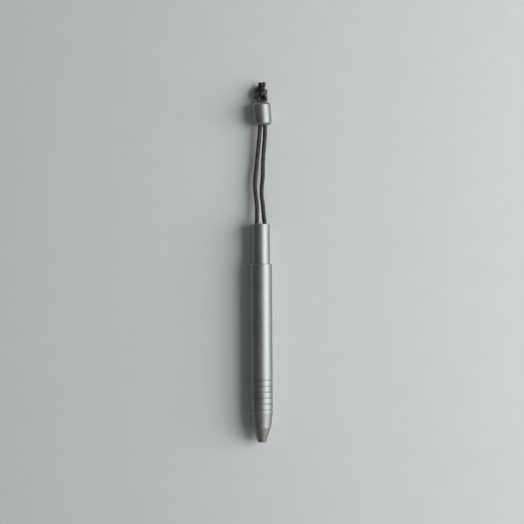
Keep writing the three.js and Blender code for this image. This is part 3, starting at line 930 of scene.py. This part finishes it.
def make_floor(tone, half=2.0, top=-0.00003):
    """A plain pale floor with a faint tooth, just under the pen."""
    f = Finish("Pale floor")
    paint = f.clouded(tone, f.noise(120.0, 3.0, 0.6), 0.985, 1.01)
    material = f.finished(paint, 0.8, f.bumped(f.noise(2600.0, 2.0, 0.6), 0.00002, 0.3))
    mesh = bpy.data.meshes.new("Floor")
    corners = ((-1, -1), (1, -1), (1, 1), (-1, 1))
    mesh.from_pydata([(half * x, half * y, top) for x, y in corners], [], [(0, 1, 2, 3)])
    mesh.materials.append(material)
    placed("Floor", mesh)


def make_lamp(power, place=(0.62, 0.03, 0.42)):
    """A soft rectangular lamp beside the pen, which points at it."""
    lamp = bpy.data.lights.new("Key light", "AREA")
    lamp.shape = "RECTANGLE"
    lamp.size, lamp.size_y = 0.52, 0.68
    lamp.energy = power
    lamp.color = (1.0, 0.995, 0.985)
    light = placed("Key light", lamp)
    light.location = place
    target = Vector((0.0, 0.02, AXIS))
    light.rotation_euler = (Vector(place) - target).to_track_quat("Z", "Y").to_euler()


def make_sky(strength):
    """A plain pale sky, a little darker towards the left of the pen."""
    world = bpy.data.worlds.new("Pale sky")
    world.use_nodes = True
    bpy.context.scene.world = world
    board = NodeBoard(world.node_tree)
    way = board.parts(board.add("ShaderNodeTexCoord").outputs["Generated"])
    side = board.add("ShaderNodeMapRange", {
        "Value": way[0], "From Min": -1.0, "From Max": 0.7, "To Min": 0.35 * strength, "To Max": strength,
    })
    background = world.node_tree.nodes["Background"]
    board.feed(background.inputs["Strength"], side)
    background.inputs["Color"].default_value = (0.95, 0.97, 1.0, 1.0)


class MINIPEN_OT_cord(PieceOperator):
    """Braid the cord's two strands and the half turn round the pin"""
    bl_idname = "minipen.cord"
    bl_label = "Braided Cord"

    def execute(self, context):
        for name, path in whole_strands().items():
            # The strand slims down over its last stretch inside the knot, where its cord takes over
            slimming, least, gone = 1.6 * MM, 0.76, distances(path)
            left = np.clip((gone[-1] - gone) / slimming, 0, 1)
            braided("braided_" + name, name, [path], swell=least + (1 - least) * left)
        radius = abs(ROUTES["cord_left"][0][0]) * MM
        centre = Vector((0.0, middle("lanyard_pin").y, AXIS))
        turn = [centre + radius * Vector((math.cos(a), math.sin(a), 0.0))
                for a in (math.pi * (1 + i / 40) for i in range(41))]
        braided("braided_cord_loop", "cord_loop", [turn])
        return {"FINISHED"}


class MINIPEN_OT_knot(PieceOperator):
    """Tie the overhand knot in both strands, with its two melted ends"""
    bl_idname = "minipen.knot"
    bl_label = "Knot"

    def execute(self, context):
        diameter = context.scene.pen_cord.knot_diameter
        braided("tied_knot", "knot", knot_paths(), diameter)
        for tail in TAILS:
            low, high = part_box(tail)
            centre = (low + high) / 2
            # From inside the knot to inside the melted end
            way = [Vector((centre.x, low.y + (high.y - low.y) * i / 8, centre.z)) for i in range(-1, 6)]
            braided("braided_" + tail, tail, [way], diameter)
            melted_end("melted_" + tail, diameter / 2 / MM, centre, span(tail)[1])
        return {"FINISHED"}


def melted_end(name, radius, centre, end, steps=8):
    """A cord's end, melted into a rough rounded bead."""
    low, dome = end - 0.7, 0.46
    rings = [(0.0, low), (radius * 0.75, low), (radius * 0.96, low + 0.12)]
    for i in range(1, steps):
        angle = math.pi / 2 * i / steps
        rings.append((radius * 0.98 * math.cos(angle) ** 0.75, end - dome + dome * math.sin(angle)))
    rings.append((0.0, end))
    piece = turned(name, "melted", rings, segments=40, axis=0.0)
    # The lumps are about half a millimetre wide, and differ from one end to the other
    fineness, shift = 1900.0, Vector((centre.x * 9000.0, 0, 0))
    for v in piece.data.vertices:
        lump = noise.noise(v.co * fineness + shift)
        v.co += Vector((v.co.x, 0, v.co.z)) * 0.16 * lump
        v.co.y = min(TIP + end * MM, v.co.y - abs(lump) * 0.05 * MM)
    piece.data.transform(Matrix.Translation((centre.x, 0.0, centre.z)))


class MINIPEN_OT_barrel(PieceOperator):
    """Turn the barrel with its taper, grip grooves, counterbore and bores"""
    bl_idname = "minipen.barrel"
    bl_label = "Barrel"

    def execute(self, context):
        body = context.scene.pen_body
        radius, edge = body.barrel_radius / MM, body.edge / MM
        half, floor = body.groove_width / 2 / MM, radius - body.groove_depth / MM
        bore, socket, neck, seat, mouth = slimmer(2.75245, 2.58, 1.45, 2.68, 3.40674)
        front, rear = span("barrel")
        shelf = rear - 0.8
        taper_end = NOSE_BASE + body.taper_length / MM
        first_groove, flat = taper_end + 0.9, half * 0.55
        corners = [(radius - body.taper / MM, front, 0.16), (radius, taper_end, 1.2)]
        for i in range(body.groove_count):
            place = first_groove + i * body.groove_pitch / MM
            corners += [(radius, place - half, 0.05), (floor, place - flat, 0.08),
                        (floor, place + flat, 0.08), (radius, place + half, 0.05)]
        corners += [(radius, rear, edge), (mouth, rear, 0.05), (mouth, shelf), (bore, shelf, 0.03)]
        # Inside grooves, 0.3 mm deep, for the retaining ring and the friction ring
        for place, width in ((3.4, 0.6), (5.2, 0.46)):
            near = rear - place + width / 2
            far, bottom = near - width, bore + 0.3
            corners += [(bore, near), (bottom, near), (bottom, far), (bore, far)]
        corners += [(bore, BORE_END), (neck, BORE_END, 0.03), (neck, THREAD_END, 0.03),
                    (socket, THREAD_END), (socket, THREAD_START),
                    (seat, THREAD_START), (seat, front, 0.04)]
        turned("turned_barrel", "titanium", corners, "barrel")
        return {"FINISHED"}


class MINIPEN_OT_nose(PieceOperator):
    """Turn the nose tip with its screw stub, and its seal"""
    bl_idname = "minipen.nose"
    bl_label = "Nose and Seal"

    def execute(self, context):
        base = half_width("nose_tip")
        hole, front, neck, stub, bore = slimmer(0.9, 1.5, 1.98, 2.5, 1.25)
        corners = [(hole, 0.0, 0.05), (front, 0.05, 0.42), (base - 0.09, 4.75, 0.5),
                   (base, NOSE_BASE, 0.07), (neck, NOSE_BASE), (neck, THREAD_START)]
        # The thread is drawn as separate rings with narrow flats
        rings, pitch, root, land = 8, 0.4, stub - 0.14, 0.04
        for i in range(rings):
            start = THREAD_START + i * pitch
            crest, end = start + pitch / 2, start + pitch
            corners += [(root, start + land / 2), (stub, crest - land), (stub, crest + land),
                        (root, end - land / 2)]
        corners += [(bore, 9.05, 0.05), (bore, 1.55, 0.05), (hole, 1.2)]
        turned("turned_nose", "nose", corners, "nose_tip")
        round_ring("seal_ring", "nose_seal")
        return {"FINISHED"}


def round_ring(name, node, sides=28):
    """A rubber ring of round section in the place of a packed ring."""
    start, end = span(node)
    half, centre = (end - start) / 2, (start + end) / 2
    middle_radius = half_width(node) - half
    turned(name, "rubber", [(middle_radius + half * math.cos(a), centre + half * math.sin(a))
                            for a in (math.tau * (i + 0.5) / sides for i in range(sides))], node)


class MINIPEN_OT_rear_tube(PieceOperator):
    """Turn the rear tube and set its cross pin, flush with it"""
    bl_idname = "minipen.rear_tube"
    bl_label = "Rear Tube and Pin"

    def execute(self, context):
        front, rear = span("rear_tube")
        radius, (bore,) = half_width("rear_tube"), slimmer(2.70)
        corners = [(bore, front), (radius, front, 0.08), (radius, rear, 0.2), (bore, rear, 0.08)]
        turned("turned_rear_tube", "titanium", corners, "rear_tube",
               cutters=[upright_pin("pin_hole", "lanyard_pin", radius + 1.0, 0.01)])
        pin = upright_pin("cross_pin", "lanyard_pin", radius, 0.03, "titanium",
                          grow=-0.005, follow=radius)
        settle(pin, "titanium", "lanyard_pin")
        return {"FINISHED"}


class MINIPEN_OT_bead(PieceOperator):
    """Turn the bead that slides on both strands"""
    bl_idname = "minipen.bead"
    bl_label = "Bead"

    def execute(self, context):
        bead = context.scene.pen_bead
        radius, hole, half, chamfer = (
            size / MM for size in (bead.radius, bead.hole, bead.length / 2, bead.chamfer))
        lip = 0.2
        corners = [(hole + lip, -half, 0.05), (radius - chamfer, -half, 0.18),
                   (radius, chamfer - half, 0.25)]
        # The bead is the same from both ends
        corners += [(r, -place, rounding) for r, place, rounding in reversed(corners)]
        corners += [(hole, half - lip, 0.08), (hole, lip - half, 0.08)]
        piece = turned("turned_bead", "titanium", corners, "bead", steps=6, start=0.0, axis=0.0)
        centre = middle("bead")
        piece.data.transform(Matrix.Translation((centre.x, centre.y, bead.radius))
                             @ Matrix.Rotation(bead.tilt, 4, "Z"))
        return {"FINISHED"}


class MINIPEN_OT_refill(PieceOperator):
    """Turn the refill: tube, point, writing ball, ink and grease plug"""
    bl_idname = "minipen.refill"
    bl_label = "Refill"

    def execute(self, context):
        front, rear = span("refill_tube")
        radius, bore = 1.175, 0.975
        turned("drawn_refill_tube", "steel", [
            (bore, front), (radius, front, 0.05), (radius, rear, 0.06), (bore, rear, 0.05),
        ], "refill_tube", segments=96)
        seat, shank, plug, duct = 0.4, 0.75, 0.91, 0.25
        turned("turned_refill_point", "brass", [
            (seat, 1.15), (0.475, 1.15, 0.02), (shank, 2.75, 0.2), (shank, 6.8, 0.05),
            (radius, 7.225, 0.08), (radius, 10.75, 0.04), (plug, 10.75), (plug, 12.8, 0.04),
            (duct, 12.8), (duct, 1.55), (seat, 1.5),
        ], "refill_point", segments=96)
        front, rear = span("writing_ball")
        size, centre = (rear - front) / 2, (front + rear) / 2
        half_circle = [(size * math.sin(a), centre - size * math.cos(a))
                       for a in (math.pi * i / 24 for i in range(25))]
        turned("writing_ball_round", "steel", half_circle, "writing_ball", segments=48)
        # The ink and the grease have hollow rear ends
        for finish, node in (("ink", "ink"), ("grease", "grease_plug")):
            front, rear = span(node)
            size, bend = half_width(node), 0.22
            hollow = [(size * math.cos(a), rear - bend * math.sin(a))
                      for a in (math.pi / 2 * i / 6 for i in range(6))]
            turned(finish + "_column", finish, [
                (0.0, front), (size, front + 0.02), *hollow, (0.0, rear - bend),
            ], node, segments=64)
        return {"FINISHED"}


class MINIPEN_OT_drive(PieceOperator):
    """Make the refill holder, its drive pin, and the guide and cam sleeves"""
    bl_idname = "minipen.drive"
    bl_label = "Twist Drive"

    def execute(self, context):
        front, rear = span("refill_holder")
        radius, (bore,) = half_width("refill_holder"), slimmer(1.225)
        floor = span("refill_tube")[1] + 0.05
        turned("moulded_holder", "polymer", [
            (0.0, floor), (bore, floor), (bore, front, 0.08), (radius, front, 0.12), (radius, rear, 0.2),
            (0.0, rear),
        ], "refill_holder", segments=96,
            cutters=[upright_pin("drive_pin_hole", "drive_pin", radius + 1.0, 0.01, grow=0.02)])
        low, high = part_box("drive_pin")
        pin = upright_pin("round_drive_pin", "drive_pin", (high.z - low.z) / 2 / MM, 0.1, "steel")
        settle(pin, "steel", "drive_pin")

        front, rear = span("guide_sleeve")
        flange, step = half_width("guide_sleeve"), front + 6.0
        inner, outer = slimmer(1.7197, 2.1197)
        turned("turned_guide_sleeve", "steel", [
            (inner, front, 0.08), (flange, front, 0.1), (flange, step, 0.1), (outer, step, 0.05),
            (outer, rear, 0.08), (inner, rear, 0.05),
        ], "guide_sleeve", segments=96, cutters=pin_slots("straight_slot", inner - 0.3, outer, 0.0))

        front, rear = span("cam_sleeve")
        floor = rear - 0.5
        (inner,), outer = slimmer(2.2187), half_width("cam_sleeve")
        # The groove has a play of 0.05 mm each way round the retaining ring
        near, far = span("retaining_ring")
        groove, near, far = outer - 0.22, near - 0.05, far + 0.05
        turned("turned_cam_sleeve", "steel", [
            (0.0, floor), (inner, floor, 0.06), (inner, front, 0.06), (outer, front, 0.1),
            (outer, near, 0.02), (groove, near), (groove, far), (outer, far, 0.02), (outer, rear, 0.12),
            (0.0, rear),
        ], "cam_sleeve", segments=96, cutters=pin_slots("cam_slot", inner - 0.2, outer, -math.pi))
        return {"FINISHED"}


def pin_slots(name, inner, outer, winding, travel=4.0):
    """Cutters for the two slots that the drive pin runs in, which may wind round their sleeve."""
    place = sum(span("drive_pin")) / 2
    return [slot_cutter(name, inner, outer + 1.0, 0.53, (way, way + winding), (place, place - travel))
            for way in (0.0, math.pi)]


class MINIPEN_OT_rings(PieceOperator):
    """Make the retaining ring, the friction ring and the thrust washer"""
    bl_idname = "minipen.rings"
    bl_label = "Rings and Washer"

    def execute(self, context):
        front, rear = span("retaining_ring")
        inner, outer = 2.65245 - 0.22 + 0.05, (2.75245 + 0.22) * FLAT
        # The ring is split by a gap 0.9 mm wide
        square = ((-1.5, -0.45), (1.5, -0.45), (1.5, 0.45), (-1.5, 0.45))
        gap = solid_from_rings("gap", [
            [(outer + x, y, z) for x, z in square] for y in (front - 1.0, rear + 1.0)])
        turned("split_retaining_ring", "steel", [
            (inner, front, 0.04), (outer, front, 0.04), (outer, rear, 0.04), (inner, rear, 0.04),
        ], "retaining_ring", segments=96, cutters=[gap])
        round_ring("friction_ring_round", "friction_ring")
        front, rear = span("thrust_washer")
        (inner,), outer = slimmer(2.73), half_width("thrust_washer")
        turned("moulded_washer", "polymer", [
            (inner, front, 0.03), (outer, front, 0.05), (outer, rear, 0.05), (inner, rear, 0.03),
        ], "thrust_washer")
        return {"FINISHED"}


class MINIPEN_PT_panel(bpy.types.Panel):
    """The pen's pieces and sizes in the sidebar"""
    bl_idname = "MINIPEN_PT_panel"
    bl_label = "Mini Pen"
    bl_space_type = "VIEW_3D"
    bl_region_type = "UI"
    bl_category = "Mini Pen"

    def draw(self, context):
        column = self.layout.column(align=True)
        for operator in OPERATORS:
            column.operator(operator.bl_idname)
        for name in GROUPS:
            box = self.layout.box()
            box.label(text=name.replace("pen_", "").title())
            settings = getattr(context.scene, name)
            for setting in settings.__annotations__:
                box.prop(settings, setting)


GROUPS = {"pen_body": PenBody, "pen_cord": PenCord, "pen_bead": PenBead, "pen_colours": PenColours,
          "pen_stage": PenStage}
OPERATORS = (MINIPEN_OT_stage, MINIPEN_OT_cord, MINIPEN_OT_bead, MINIPEN_OT_knot, MINIPEN_OT_rear_tube,
             MINIPEN_OT_barrel, MINIPEN_OT_nose, MINIPEN_OT_refill, MINIPEN_OT_drive, MINIPEN_OT_rings)


def register():
    """Registers the add-on's classes and its settings on the scene."""
    for name, group in GROUPS.items():
        bpy.utils.register_class(group)
        setattr(bpy.types.Scene, name, bpy.props.PointerProperty(type=group))
    for item in (*OPERATORS, MINIPEN_PT_panel):
        bpy.utils.register_class(item)


def unregister():
    """Takes the classes and settings away again."""
    for item in reversed((*OPERATORS, MINIPEN_PT_panel)):
        bpy.utils.unregister_class(item)
    for name, group in reversed(list(GROUPS.items())):
        delattr(bpy.types.Scene, name)
        bpy.utils.unregister_class(group)


def declare_cords():
    """Works out each strand's length from the pin to its end, and keeps none of it."""
    for name, path in whole_strands().items():
        float(distances(path)[-1])


def main():
    """Makes every piece and the stage."""
    register()
    make_materials(bpy.context.scene.pen_colours)
    TREES["turned"] = turned_tree()
    TREES["braid"] = braid_tree()
    for operator in OPERATORS:
        group, name = operator.bl_idname.split(".")
        getattr(getattr(bpy.ops, group), name)()
    declare_cords()
    bpy.context.view_layer.update()


if __name__ == "__main__":
    main()
